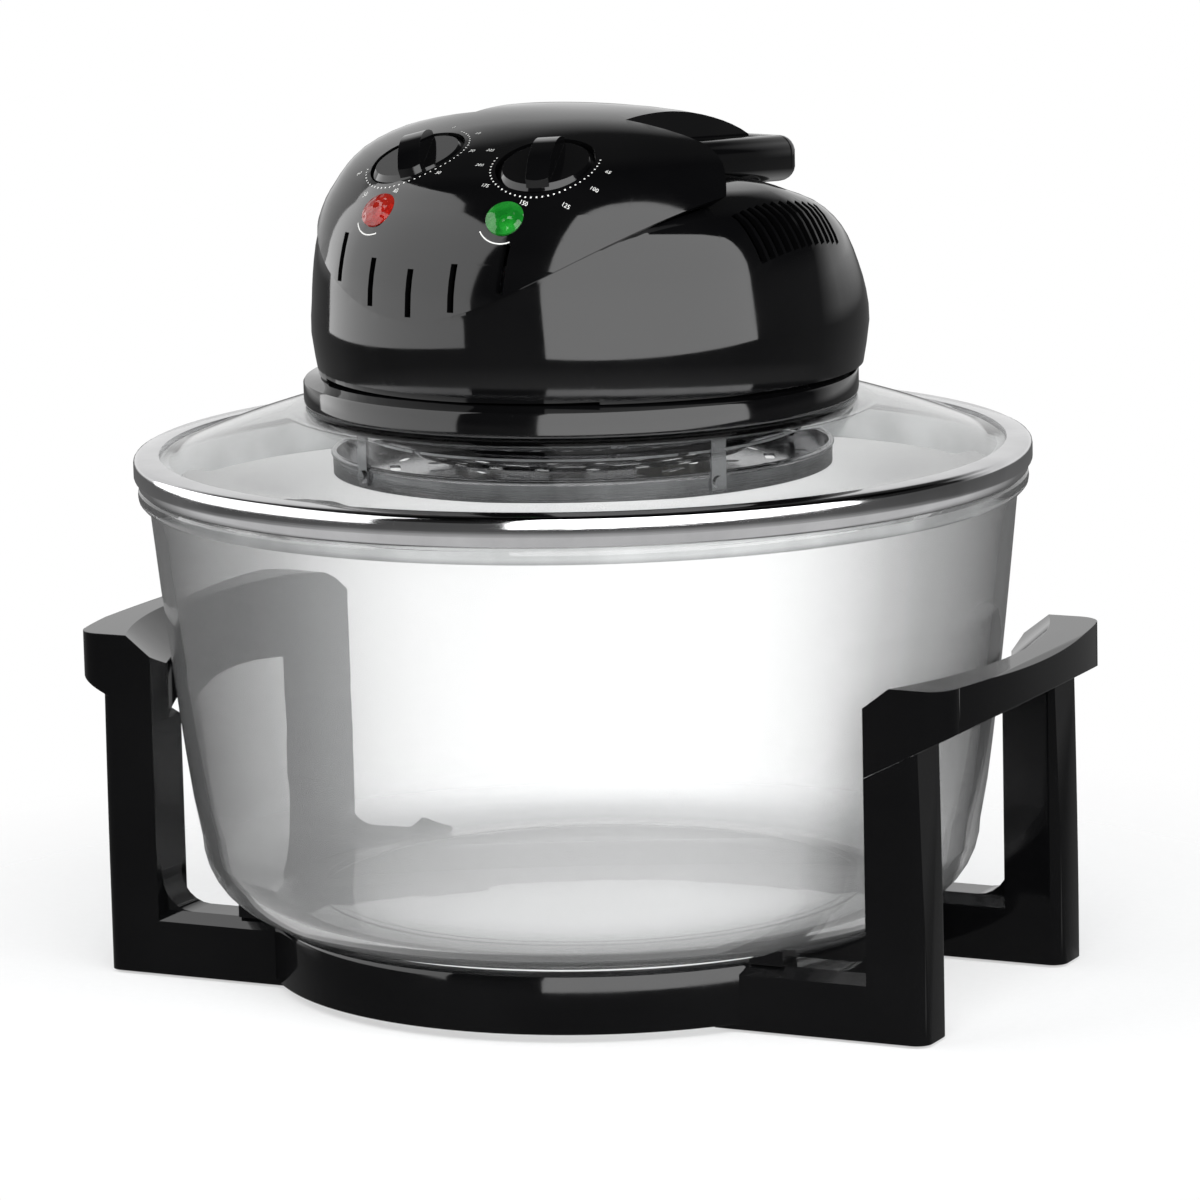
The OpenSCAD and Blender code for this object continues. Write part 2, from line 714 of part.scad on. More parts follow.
module lamp_tube() {
    color("#e8e8ea", 0.5) in_lid() translate([0, 0, lamp_z]) difference() {
        open_ring(lamp_r, lamp_tube_r, 8);
        open_ring(lamp_r, lamp_tube_r - 1, 9);
    }
}

module lamp_filament() {
    color("#b08050") in_lid() translate([0, 0, lamp_z]) open_ring(lamp_r, 1.2, 9.2);
}

module lamp_holders() {
    color("#e8e4da") in_lid() difference() {
        for (s = [-1, 1]) rotate([0, 0, 90 + s * 7.6]) {
            translate([lamp_r - lamp_tube_r - 2.5, -lamp_tube_r, lamp_z - lamp_tube_r - 2])
                cube([2 * lamp_tube_r + 5, 2 * lamp_tube_r, 2 * lamp_tube_r + 3]);
            translate([reflector_r - 27, -lamp_tube_r, lamp_z])
                cube([9, 2 * lamp_tube_r, reflector_top - 0.9 - lamp_z]);
        }
        translate([0, 0, lamp_z]) open_ring(lamp_r, lamp_tube_r, 8);
    }
}

module heat_shield() {
    color(STEEL) in_lid() difference() {
        tube_z(9, collar_r - 3.2, collar_z, collar_z + 1.2);
        frame_screw_set(small_screw_r);
        bracket_screw_set();
        for (k = [0:2]) rotate([0, 0, 60 + k * 120])
            translate([standoff_r, 0, collar_z - 2])
                cylinder(r = standoff_stud_r, h = 6, $fn = 32);
    }
}

standoff_r = 46;
standoff_stud_r = 1.5;
module shield_standoffs() {
    color(GREY) in_lid() for (k = [0:2]) rotate([0, 0, 60 + k * 120])
        translate([standoff_r, 0, reflector_top]) {
            cylinder(r = 4, h = collar_z - reflector_top, $fn = 32);
            cylinder(r = standoff_stud_r, h = shield_z - reflector_top, $fn = 32);
        }
}

cutout_y = neck_r - 16;
module thermal_cutout() {
    color(GREY) in_lid() translate([0, cutout_y, collar_z + 1.2]) {
        cylinder(r = 6.5, h = 4);
        translate([0, 0, 4]) cylinder(r = 5, h = 3);
        for (s = [-1, 1]) translate([s * 2.6 - 0.4, -2, 7]) cube([0.8, 4, 4]);
    }
}

// The motor and its fans

shaft_r = 3;
bearing_r = 7;
bearing_h = 5;
motor_r = 25;
motor_h = 38;
bracket_x = cool_fan_r + 9;
bracket_w = 30;
bracket_t = 1.6;
bracket_z = head_z + 3.6;
motor_z = bracket_z + bracket_t;
module bracket_screw_set() {
    for (sx = [-1, 1], sy = [-1, 1])
        translate([sx * (bracket_x + 6), sy * 8, collar_z + 1.2 + bracket_t])
            screw(1.5, 3.8, 2.8, 1.6);
}

module bracket_screws() {
    color(GREY) in_lid() bracket_screw_set();
}

module motor_bracket() {
    color(STEEL) in_lid() difference() {
        union() {
            translate([-bracket_x, -bracket_w / 2, bracket_z])
                cube([2 * bracket_x, bracket_w, bracket_t]);
            for (s = [-1, 1]) {
                translate([s * bracket_x - bracket_t / 2, -bracket_w / 2, collar_z + 1.2])
                    cube([bracket_t, bracket_w, motor_z - collar_z - 1.2]);
                translate([s * (bracket_x + 6) - 6.8, -bracket_w / 2, collar_z + 1.2])
                    cube([13.6, bracket_w, bracket_t]);
            }
        }
        translate([0, 0, bracket_z - 1]) cylinder(r = bearing_r + 1, h = 4);
        bracket_screw_set();
    }
}

module fan_motor() {
    color(GREY) in_lid() difference() {
        union() {
            translate([0, 0, motor_z]) cylinder(r = motor_r, h = motor_h);
            translate([-motor_r - 3, 1 - motor_r, motor_z + 9])
                cube([2 * motor_r + 6, 2 * motor_r - 2, motor_h - 18]);
        }
        translate([0, 0, motor_z - 1]) cylinder(r = shaft_r + 1, h = motor_h + 2);
        for (z = [motor_z - 1, motor_z + motor_h - bearing_h])
            translate([0, 0, z]) cylinder(r = bearing_r, h = bearing_h + 1);
    }
}

module motor_bearings() {
    color("#b08d57") in_lid() for (z = [motor_z, motor_z + motor_h - bearing_h])
        tube_z(shaft_r + run_gap, bearing_r, z, z + bearing_h);
}

hot_fan_z = lamp_z + 3;
hot_fan_h = 7;
cool_fan_h = 8;
module motor_shaft() {
    color(STEEL) in_lid() translate([0, 0, hot_fan_z - 5])
        cylinder(r = shaft_r, h = motor_z + motor_h + 3 - hot_fan_z + 5);
}

module fan(r, z, h, blades, hub) {
    difference() {
        translate([0, 0, z]) {
            cylinder(r = hub, h = h);
            cylinder(r = r, h = 1);
            for (k = [0:blades - 1]) rotate([0, 0, k * 360 / blades])
                translate([hub - 1, -0.6, 0]) cube([r - hub, 1.2, h]);
        }
        translate([0, 0, z - 1]) cylinder(r = shaft_r, h = h + 2);
    }
}

module cooling_fan() {
    color(STEEL) in_lid() fan(cool_fan_r, shield_z + 3, cool_fan_h, 12, 9);
}

module convection_fan() {
    color(STEEL) in_lid() fan(hot_fan_r, hot_fan_z, hot_fan_h, 10, 8);
}

module fan_nut() {
    color(GREY) in_lid() translate([0, 0, hot_fan_z - 4]) difference() {
        cylinder(r = 6, h = 4, $fn = 6);
        translate([0, 0, -1]) cylinder(r = shaft_r, h = 6);
    }
}

// The head's shells

// Size of the blocks that cut the head, which reach past it
head_far = 130;

// Height of the seam between the hood and the shell below it, at a distance
// from the middle: a smile that straightens toward the sides
seam_z = head_z + 25.5;
seam_bend = 40;
seam_rise = 0.78;
function seam(x) = seam_z - seam_bend
    + sqrt(pow(seam_bend, 2) + pow(seam_rise * (x - face_mid), 2));

// The hood's back leans forward below this height
hood_lean = 33;
hood_lean_z = head_z + 87;
module behind_hood(g) {
    translate([0, hood_back - g / cos(hood_lean), hood_lean_z]) rotate([-hood_lean, 0, 0])
        translate([-head_far, 0, -head_far]) cube([2 * head_far, head_far, head_far]);
}

module front_region() {
    difference() {
        translate([0, hood_back, 0]) rotate([90, 0, 0]) linear_extrude(head_far)
            polygon(concat([for (x = [-head_far:5:head_far]) [x, seam(x)]],
                [[head_far, head_z + head_far], [-head_far, head_z + head_far]]));
        behind_hood(0);
    }
}

module handle_pocket(g) {
    w = handle_x + 2.5 + g;
    translate([-w, pocket_y - g, deck_z - g]) cube([2 * w, head_far, head_far]);
    translate([-scoop_w / 2 - g, spine_end + 4 - g, scoop_z - g])
        cube([scoop_w + 2 * g, head_far, head_far]);
}

// Bosses for the screws that come up through the base plate
SHELL_SCREWS = [[-97, 12], [97, 12], [-58, 86], [58, 86]];
boss_r = 4.2;
boss_h = 18;
plate_z = head_z + part_gap;
plate_t = 2.2;
module shell_screw_set(r) {
    for (p = SHELL_SCREWS) translate([p[0], p[1], plate_z]) rotate([180, 0, 0])
        screw(r, 16, r * 2, 1.8);
}

module shell_bosses() {
    reach = SHELL_ROWS[0][1] - 0.3;
    for (p = SHELL_SCREWS) {
        far = norm([p[0], p[1] - SHELL_BACK]);
        translate([p[0], p[1], plate_z + plate_t]) {
            cylinder(r = boss_r, h = boss_h);
            rotate([0, 0, atan2(p[1] - SHELL_BACK, p[0])])
                translate([0, -1.5, 0.2]) cube([reach - far, 3, boss_h - 2]);
        }
    }
}

// Slanted slots over the head's shoulders
vent_x = 97;
vent_y = -22.3;
vent_z = head_z + 53.2;
vent_pitch = 4.55;
vent_w = 3.1;
vent_h = 18.5;
vent_lean = 13;
vent_last = 11;
vent_rise = 0.09;
module side_vents() {
    for (s = [-1, 1], k = [0:vent_last])
        translate([s * vent_x, vent_y + vent_pitch * k,
                vent_z + vent_rise * k * (vent_last - k)])
            rotate([vent_lean, 0, 0]) cube([36, vent_w, vent_h - vent_w * k / vent_last],
                center = true);
}

gland_r = 6;
gland_z = head_z + 24;
gland_y = SHELL_ROWS[2][3] + SHELL_BACK + 1.6;
// Space under the skirt, which rises from the front to the sides
module under_skirt() {
    translate([-head_far / 2, 0, head_z]) rotate([90, 0, 90]) linear_extrude(head_far)
        polygon([[-SHELL_ROWS[0][2], -skirt_drop], [skirt_end, 0], [head_far, 0],
            [head_far, -skirt_drop - 1], [-SHELL_ROWS[0][2], -skirt_drop - 1]]);
}

module head_shell() {
    color(BLACK) in_lid() difference() {
        union() {
            difference() {
                shell_skin(0, 2, 96);
                handle_pocket(0);
                difference() {
                    shell_skin(head_wall, 2, 72);
                    handle_pocket(head_wall);
                }
            }
            shell_bosses();
        }
        front_region();
        under_skirt();
        // Opening under the hood's spine, as far as the handle's pocket
        translate([-spine_w / 2, hood_back - 30, deck_z])
            cube([spine_w, pocket_y - hood_back + 30, head_far]);
        side_vents();
        shell_screw_set(small_screw_r);
        translate([plunger_x, plunger_y, deck_z - 10])
            cylinder(r = plunger_r + run_gap, h = 20);
        translate([0, head_far, gland_z]) rotate([90, 0, 0]) cylinder(r = gland_r, h = 30);
    }
}

module base_plate() {
    color(BLACK) in_lid() translate([0, 0, plate_z]) difference() {
        translate([0, SHELL_BACK, 0]) linear_extrude(plate_t) polygon([for (j = [0:95])
            outline(SHELL_ROWS[0][1] - head_wall - 0.3, SHELL_ROWS[0][2] - head_wall - 0.3,
                SHELL_ROWS[0][3] - head_wall - 0.3, SHELL_PLAN, j * 3.75)]);
        translate([0, 0, -1]) cylinder(r = neck_r + 0.1, h = 6);
        translate([0, 0, -plate_z]) shell_screw_set(small_screw_r);
    }
}

module shell_screws() {
    color(GREY) in_lid() shell_screw_set(small_screw_r);
}

slot_h = 18;
module grille_slots() {
    for (k = [-2:2]) let (x = face_mid + k * slot_pitch)
        translate([x - slot_w / 2, -head_far, seam(x) + 1.6])
            cube([slot_w, head_far - 70, slot_h]);
}

// Half the width of the opening at the hood's back
hood_open = 88;
module control_hood() {
    color(BLACK) in_lid() difference() {
        union() {
            difference() {
                intersection() {
                    hood_skin(0, 2, 96);
                    union() {
                        front_region();
                        translate([-spine_w / 2, hood_back - 10, deck_z])
                            cube([spine_w, spine_end - hood_back + 10, head_far]);
                    }
                }
                intersection() {
                    hood_skin(head_wall, 2, 72);
                    union() {
                        difference() {
                            translate([-head_far, hood_back - head_wall - head_far, 0])
                                cube([2 * head_far, head_far, head_z + head_far]);
                            behind_hood(head_wall);
                        }
                        // The hood is open at its back, under the deck
                        translate([-hood_open, hood_back + 1 - head_far, head_z])
                            cube([2 * hood_open, head_far, deck_z + 4 - head_z]);
                        translate([-spine_w / 2 + head_wall, hood_back - 30, deck_z - 1])
                            cube([spine_w - 2 * head_wall,
                                spine_end - hood_back + 30 - head_wall, head_far]);
                    }
                }
            }
            // Cups of the knob wells
            intersection() {
                hood_skin(head_wall / 2, 1, 48);
                for (s = [-1, 1]) at_knob(s) translate([0, 0, -well_depth - 2])
                    cylinder(r = well_r + 2, h = well_depth + 12);
            }
            // Bosses for the handle's pins
            for (s = [-1, 1]) translate([s * (spine_w / 2 - 6), pivot_y, pivot_z])
                rotate([0, 90, 0]) cylinder(r = pin_r + 3, h = 9, center = true);
        }
        for (s = [-1, 1]) {
            at_knob(s) translate([0, 0, -well_depth]) cylinder(r = well_r, h = 40);
            at_knob(s) translate([0, 0, -20]) cylinder(r = knob_shaft_r + 0.5, h = 30);
            at_lens(s) translate([0, 0, -8]) cylinder(r = lens_r, h = 20);
        }
        pin_set(0);
        grille_slots();
    }
}

// The controls

knob_shaft_r = 3;
knob_h = 12.5;
disc_h = 3.2;
bar_w = 8.8;
bar_arch = 30;
// Turn of the finger bars at rest
bar_turn = 25;
module knob(side) {
    r = well_r - knob_gap;
    z0 = -well_depth + 0.6;
    color(BLACK) in_lid() at_knob(side) difference() {
        union() {
            translate([0, 0, z0]) cylinder(r = r, h = disc_h);
            translate([0, 0, z0 + disc_h]) cylinder(r1 = r, r2 = r - 2, h = 2);
            // Finger bar across the disc, arched along its top
            rotate([0, 0, bar_turn]) intersection() {
                translate([-bar_w / 2, -r, z0 + 1]) cube([bar_w, 2 * r, knob_h - 1]);
                translate([0, 0, z0]) cylinder(r1 = r - 0.2, r2 = r - 2.4, h = knob_h);
                translate([0, 0, z0 + knob_h - bar_arch]) rotate([0, 90, 0])
                    cylinder(r = bar_arch, h = 2 * bar_w, center = true);
            }
        }
        translate([0, 0, z0 - 1]) cylinder(r = knob_shaft_r, h = knob_h - 4);
    }
}

module knob_shaft(side) {
    color(STEEL) in_lid() at_knob(side)
        translate([0, 0, -26]) cylinder(r = knob_shaft_r, h = 26 - well_depth - 0.4
            + knob_h - 4);
}

module control_unit(side, w, h) {
    color(GREY) in_lid() at_knob(side) difference() {
        union() {
            translate([-w / 2, -w / 2, -well_depth - 3 - h]) cube([w, w, h]);
            translate([0, 0, -well_depth - 3.5]) cylinder(r = 7, h = 1.4);
        }
        translate([0, 0, -27]) cylinder(r = knob_shaft_r + run_gap, h = 40);
    }
}

module timer_knob() { knob(-1); }
module timer_shaft() { knob_shaft(-1); }
module thermostat_knob() { knob(1); }
module thermostat_shaft() { knob_shaft(1); }
timer_w = 38;
timer_h = 24;
stat_w = 32;
stat_h = 20;
module timer_unit() { control_unit(-1, timer_w, timer_h); }
module thermostat_unit() { control_unit(1, stat_w, stat_h); }

module lens(side, tone) {
    color(tone) in_lid() at_lens(side) {
        translate([0, 0, -5]) cylinder(r = lens_r, h = 5);
        cylinder(r1 = lens_r, r2 = lens_r - 2.6, h = 1);
    }
}

module power_lens() { lens(-1, "#d02a20"); }
module heat_lens() { lens(1, "#22a030"); }

module indicator_lamps() {
    color("#e8e4da") in_lid() for (s = [-1, 1]) at_lens(s)
        translate([0, 0, -15]) cylinder(r = 3, h = 9.8, $fn = 32);
}

module terminal_block() {
    color("#e8e4da") in_lid() translate([-60, 44, plate_z + 12]) difference() {
        cube([30, 14, 12], center = true);
        for (k = [-1:1]) translate([k * 9, 0, 2]) cylinder(r = 2, h = 10, $fn = 32);
    }
}

module cord_gland() {
    color(BLACK) in_lid() translate([0, 0, gland_z]) rotate([-90, 0, 0]) difference() {
        union() {
            translate([0, 0, gland_y - 12]) cylinder(r = gland_r, h = 12.5);
            translate([0, 0, gland_y]) cylinder(r = gland_r + 2, h = 2);
        }
        translate([0, 0, gland_y - 14]) cylinder(r = 3.2, h = 20);
    }
}

// The carry handle and its safety switch

module pin_set(g) {
    for (s = [-1, 1]) translate([s * (spine_w / 2 - 2.5), pivot_y, pivot_z])
        rotate([0, s * 90, 0]) translate([0, 0, -8])
            cylinder(r = pin_r + g, h = 22 + 5 * g);
}

module handle_pins() {
    color(STEEL) in_lid() pin_set(0);
}

// Rounded bar between two points
module bar(a, b, w, h, r) {
    hull() for (p = [a, b], dx = [-1, 1], dz = [-1, 1])
        translate([p[0] + dx * (w / 2 - r), p[1], p[2] + dz * (h / 2 - r)])
            sphere(r = r, $fn = 24);
}

handle_mid_x = handle_x - handle_w / 2;
cross_y = handle_rear - handle_w / 2;
cross_z = pivot_z - 3.5;
module carry_handle() {
    r = handle_w * 0.48;
    color(BLACK) in_lid() difference() {
        union() {
            for (s = [-1, 1])
                bar([s * handle_mid_x, pivot_y - handle_t / 2 + r, pivot_z],
                    [s * handle_mid_x, cross_y + handle_w / 2 - r - 1, cross_z],
                    handle_w, handle_t, r);
            hull() for (s = [-1, 1], dy = [-1, 1], dz = [-1, 1])
                translate([s * (handle_x - r),
                    cross_y + dy * (handle_w / 2 - r), cross_z + dz * (handle_t / 2 - r)])
                    sphere(r = r, $fn = 24);
        }
        pin_set(run_gap);
    }
}

plunger_r = 2.4;
plunger_x = -handle_mid_x;
plunger_y = pivot_y + 11;
plunger_top = pivot_z - handle_t / 2 - 1.3;
module interlock_plunger() {
    color(RUBBER) in_lid() translate([plunger_x, plunger_y, 0]) {
        translate([0, 0, deck_z - 14]) cylinder(r = plunger_r, h = plunger_top - deck_z + 14);
        translate([0, 0, deck_z - 14]) cylinder(r = plunger_r + 1.6, h = 2);
    }
}

module micro_switch() {
    color(GREY) in_lid() translate([plunger_x, plunger_y, deck_z - 21])
        cube([10, 20, 13], center = true);
}

base_ring();
leg_front_left();
leg_front_right();
leg_rear_left();
leg_rear_right();
bowl_lugs();
left_grip();
right_grip();
leg_screws();
grip_screws();
foot_pads();
glass_bowl();
lid_glass();
lid_rim();
lid_seal();
collar();
collar_seal();
base_plate();
guard_frame();
frame_screws();
reflector();
lamp_tube();
lamp_filament();
lamp_holders();
guard_tray();
guard_rivets();
heat_shield();
shield_standoffs();
head_shell();
control_hood();
fan_motor();
motor_bearings();
motor_bracket();
bracket_screws();
timer_unit();
thermostat_unit();
thermal_cutout();
terminal_block();
power_lens();
heat_lens();
indicator_lamps();
micro_switch();
handle_pins();
cord_gland();
shell_screws();
timer_knob();
timer_shaft();
thermostat_knob();
thermostat_shaft();
carry_handle();
motor_shaft();
cooling_fan();
convection_fan();
fan_nut();
interlock_plunger();
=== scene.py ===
"""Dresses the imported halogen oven: materials, markings, trims, floor, lamps and camera."""

import bpy
import bmesh
import json
import math
from mathutils import Matrix, Vector
from mathutils.bvhtree import BVHTree

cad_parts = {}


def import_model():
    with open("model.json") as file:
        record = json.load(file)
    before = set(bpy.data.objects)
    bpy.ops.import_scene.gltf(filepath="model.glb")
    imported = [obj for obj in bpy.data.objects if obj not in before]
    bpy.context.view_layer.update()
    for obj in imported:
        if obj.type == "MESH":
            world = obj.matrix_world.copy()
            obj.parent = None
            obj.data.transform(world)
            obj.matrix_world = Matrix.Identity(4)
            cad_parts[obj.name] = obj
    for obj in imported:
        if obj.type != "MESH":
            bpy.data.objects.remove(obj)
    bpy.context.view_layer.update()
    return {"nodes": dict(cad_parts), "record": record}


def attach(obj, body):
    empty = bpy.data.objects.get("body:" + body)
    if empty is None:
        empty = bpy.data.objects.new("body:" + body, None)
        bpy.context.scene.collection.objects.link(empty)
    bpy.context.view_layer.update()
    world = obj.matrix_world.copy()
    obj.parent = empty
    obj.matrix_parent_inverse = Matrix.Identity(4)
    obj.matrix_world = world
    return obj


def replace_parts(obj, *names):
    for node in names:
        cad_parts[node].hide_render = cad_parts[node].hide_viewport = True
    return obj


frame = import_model()
NODES = frame["nodes"]
MM = 0.001

# Places on the head in the lid's own frame, in millimetres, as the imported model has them
LID_TURN = math.radians(-10)
KNOB_X, KNOB_Y, KNOB_Z = 30.5, -61.0, 325.8
KNOB_TILT, KNOB_LEAN = math.radians(21), math.radians(6)
LENS_X, LENS_Y, LENS_Z = 29.8, -86.6, 307.8
LENS_TILT, LENS_SWING, LENS_SKEW = math.radians(49), math.radians(11), math.radians(7)
LAMP_R, LAMP_Z = 63.0, 212.0


# Small tools
def lid_frame():
    """Frame of the lid, turned on the bowl."""
    return Matrix.Rotation(LID_TURN, 4, "Z")


def knob_frame(side):
    """Frame of a knob: +Z along its axis, -Y toward the front."""
    at = Matrix.Translation(Vector((side * KNOB_X, KNOB_Y, KNOB_Z)) * MM)
    turn = Matrix.Rotation(side * KNOB_LEAN, 4, "Y") @ Matrix.Rotation(KNOB_TILT, 4, "X")
    return lid_frame() @ at @ turn


def lens_frame(side):
    """Frame of a lens: +Z out of its face."""
    at = Matrix.Translation(Vector((side * LENS_X, LENS_Y, LENS_Z)) * MM)
    swing = side * LENS_SWING + LENS_SKEW
    turn = Matrix.Rotation(swing, 4, "Z") @ Matrix.Rotation(LENS_TILT, 4, "X")
    return lid_frame() @ at @ turn


def piece(name, verts, faces, mat, slot, body):
    """Makes a mesh piece in metres and lets it ride on a body."""
    mesh = bpy.data.meshes.new(name)
    mesh.from_pydata([tuple(v) for v in verts], [], faces)
    mesh.validate()
    mesh.update()
    for poly in mesh.polygons:
        poly.use_smooth = True
    obj = bpy.data.objects.new(name, mesh)
    bpy.context.scene.collection.objects.link(obj)
    obj.data.materials.append(mat)
    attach(obj, body)
    return obj


def surface_tree(name):
    """Search tree over a node's surface, for laying marks on it."""
    mesh = NODES[name].data
    return BVHTree.FromPolygons([v.co.copy() for v in mesh.vertices],
                                [list(p.vertices) for p in mesh.polygons])


# Height over a frame from which marks drop to the surface, and how far they lie above it
DROP_FROM = 30 * MM
LIFT = 0.05 * MM


def drop(tree, place, x, y, lift=LIFT):
    """Point of the surface under (x, y) of a frame, lifted a little along its normal."""
    axis = (place.to_3x3() @ Vector((0, 0, 1))).normalized()
    hit, normal, _, _ = tree.ray_cast(place @ Vector((x, y, DROP_FROM)), -axis)
    if hit is None:
        return place @ Vector((x, y, 0))
    if normal.dot(axis) < 0:
        normal = -normal
    return hit + normal * lift


# Materials
class Mat:
    """A Principled material whose detail comes from noise in object space."""

    def __init__(self, name, colour, rough, metallic=0.0, **sockets):
        self.mat = bpy.data.materials.new(name)
        self.mat.use_nodes = True
        self.tree = self.mat.node_tree
        self.bsdf = self.tree.nodes["Principled BSDF"]
        self.bsdf.inputs["Base Color"].default_value = (*colour, 1)
        self.bsdf.inputs["Roughness"].default_value = rough
        self.bsdf.inputs["Metallic"].default_value = metallic
        for key, value in sockets.items():
            self.bsdf.inputs[key.replace("_", " ")].default_value = value
        self.coord = self.add("ShaderNodeTexCoord").outputs["Object"]
        self.normal = None

    def add(self, kind, **props):
        node = self.tree.nodes.new(kind)
        for key, value in props.items():
            setattr(node, key, value)
        return node

    def link(self, a, b):
        self.tree.links.new(a, b)

    def stretched(self, scale):
        node = self.add("ShaderNodeMapping")
        node.inputs["Scale"].default_value = scale
        self.link(self.coord, node.inputs["Vector"])
        return node.outputs["Vector"]

    def around(self, per_radius, per_height, per_turn):
        """Coordinates round the upright axis, for the marks of spinning or turning."""
        split = self.add("ShaderNodeSeparateXYZ")
        self.link(self.coord, split.inputs[0])
        flat = self.add("ShaderNodeCombineXYZ")
        self.link(split.outputs["X"], flat.inputs["X"])
        self.link(split.outputs["Y"], flat.inputs["Y"])
        length = self.add("ShaderNodeVectorMath", operation="LENGTH")
        self.link(flat.outputs[0], length.inputs[0])
        unit = self.add("ShaderNodeVectorMath", operation="NORMALIZE")
        self.link(flat.outputs[0], unit.inputs[0])
        turn = self.add("ShaderNodeVectorMath", operation="SCALE")
        self.link(unit.outputs[0], turn.inputs[0])
        turn.inputs["Scale"].default_value = per_turn
        radius = self.math("MULTIPLY", length.outputs["Value"], per_radius)
        height = self.math("MULTIPLY", split.outputs["Z"], per_height)
        both = self.math("ADD", radius, height)
        rise = self.add("ShaderNodeCombineXYZ")
        self.link(both, rise.inputs["Z"])
        total = self.add("ShaderNodeVectorMath", operation="ADD")
        self.link(turn.outputs[0], total.inputs[0])
        self.link(rise.outputs[0], total.inputs[1])
        return total.outputs[0]

    def math(self, operation, a, b):
        node = self.add("ShaderNodeMath", operation=operation)
        for socket, value in zip(node.inputs, (a, b)):
            if isinstance(value, (int, float)):
                socket.default_value = value
            else:
                self.link(value, socket)
        return node.outputs[0]

    def noise(self, scale, detail=3.0, rough=0.5, vector=None):
        node = self.add("ShaderNodeTexNoise")
        node.inputs["Scale"].default_value = scale
        node.inputs["Detail"].default_value = detail
        node.inputs["Roughness"].default_value = rough
        self.link(vector or self.coord, node.inputs["Vector"])
        return node.outputs["Fac"]

    def ramp(self, value, low, high, out_low, out_high):
        node = self.add("ShaderNodeMapRange")
        self.link(value, node.inputs["Value"])
        for key, number in zip(("From Min", "From Max", "To Min", "To Max"),
                               (low, high, out_low, out_high)):
            node.inputs[key].default_value = number
        return node.outputs["Result"]

    def mix(self, factor, dark, light):
        node = self.add("ShaderNodeMix", data_type="RGBA")
        self.link(factor, node.inputs["Factor"])
        node.inputs[6].default_value = (*dark, 1)
        node.inputs[7].default_value = (*light, 1)
        return node.outputs[2]

    def colours(self, value, dark, light, low=0.35, high=0.65):
        self.link(self.mix(self.ramp(value, low, high, 0, 1), dark, light),
                  self.bsdf.inputs["Base Color"])

    def roughness(self, value, low, high):
        self.link(self.ramp(value, 0.3, 0.7, low, high), self.bsdf.inputs["Roughness"])

    def bump(self, height, depth, strength=1.0):
        node = self.add("ShaderNodeBump")
        node.inputs["Strength"].default_value = strength
        node.inputs["Distance"].default_value = depth
        self.link(height, node.inputs["Height"])
        if self.normal is not None:
            self.link(self.normal, node.inputs["Normal"])
        self.normal = node.outputs["Normal"]
        self.link(self.normal, self.bsdf.inputs["Normal"])


def scratches(m, scale, vectors, low, high):
    """Fine lines where stretched noises peak, as 0 to 1."""
    total = None
    for vector in vectors:
        line = m.ramp(m.noise(scale, 2.0, 0.4, m.stretched(vector)), low, high, 0, 1)
        total = line if total is None else m.math("MAXIMUM", total, line)
    return total


def gloss_black():
    """Polished black plastic with faint wear."""
    m = Mat("black_gloss", (0.002, 0.002, 0.0022), 0.06, IOR=1.48)
    m.colours(m.noise(14, 4), (0.0015, 0.0015, 0.0017), (0.0028, 0.0028, 0.003))
    wear = scratches(m, 90, ((1, 12, 3), (14, 1, 2)), 0.68, 0.8)
    dull = m.math("MULTIPLY", wear, 0.06)
    m.link(m.math("ADD", m.ramp(m.noise(55, 5), 0.3, 0.7, 0.045, 0.085), dull),
           m.bsdf.inputs["Roughness"])
    m.bump(m.noise(70, 2), 0.00002, 0.5)
    return m.mat


def matte_black():
    """Moulded black plastic with a fine grain."""
    m = Mat("black_matte", (0.014, 0.014, 0.015), 0.5)
    grain = m.noise(900, 3)
    m.colours(m.noise(40, 4), (0.011, 0.011, 0.012), (0.02, 0.02, 0.021))
    m.roughness(grain, 0.42, 0.58)
    m.bump(grain, 0.00012, 0.6)
    return m.mat


def glass(name, tint, edges, haze=0.0, ior=1.47):
    """Clear glass with painted shade that greys its colour toward the edges as seen, by the
    given stops, and lets the lamps' light through.
    """
    m = Mat(name, tint, 0.0, Transmission_Weight=1.0 - haze, IOR=ior)
    m.roughness(m.noise(30, 4), 0.0, 0.012)
    m.bump(m.noise(18, 2), 0.00003, 0.3)
    # Painted shade: the base colour darkens where the surface turns away from the view
    facing = m.add("ShaderNodeLayerWeight")
    facing.inputs["Blend"].default_value = 0.5
    painted_edge_shade = m.add("ShaderNodeValToRGB")
    m.link(facing.outputs["Facing"], painted_edge_shade.inputs["Fac"])
    stops = painted_edge_shade.color_ramp.elements
    for k, (place, level) in enumerate(edges):
        stop = stops[k] if k < 2 else stops.new(place)
        stop.position = place
        stop.color = (*(level * c for c in tint), 1)
    m.link(painted_edge_shade.outputs["Color"], m.bsdf.inputs["Base Color"])
    clear = m.add("ShaderNodeBsdfTransparent")
    clear.inputs["Color"].default_value = (0.92, 0.93, 0.93, 1)
    path = m.add("ShaderNodeLightPath")
    either = m.add("ShaderNodeMixShader")
    m.link(path.outputs["Is Shadow Ray"], either.inputs["Fac"])
    m.link(m.bsdf.outputs["BSDF"], either.inputs[1])
    m.link(clear.outputs["BSDF"], either.inputs[2])
    m.link(either.outputs[0], m.tree.nodes["Material Output"].inputs["Surface"])
    return m.mat


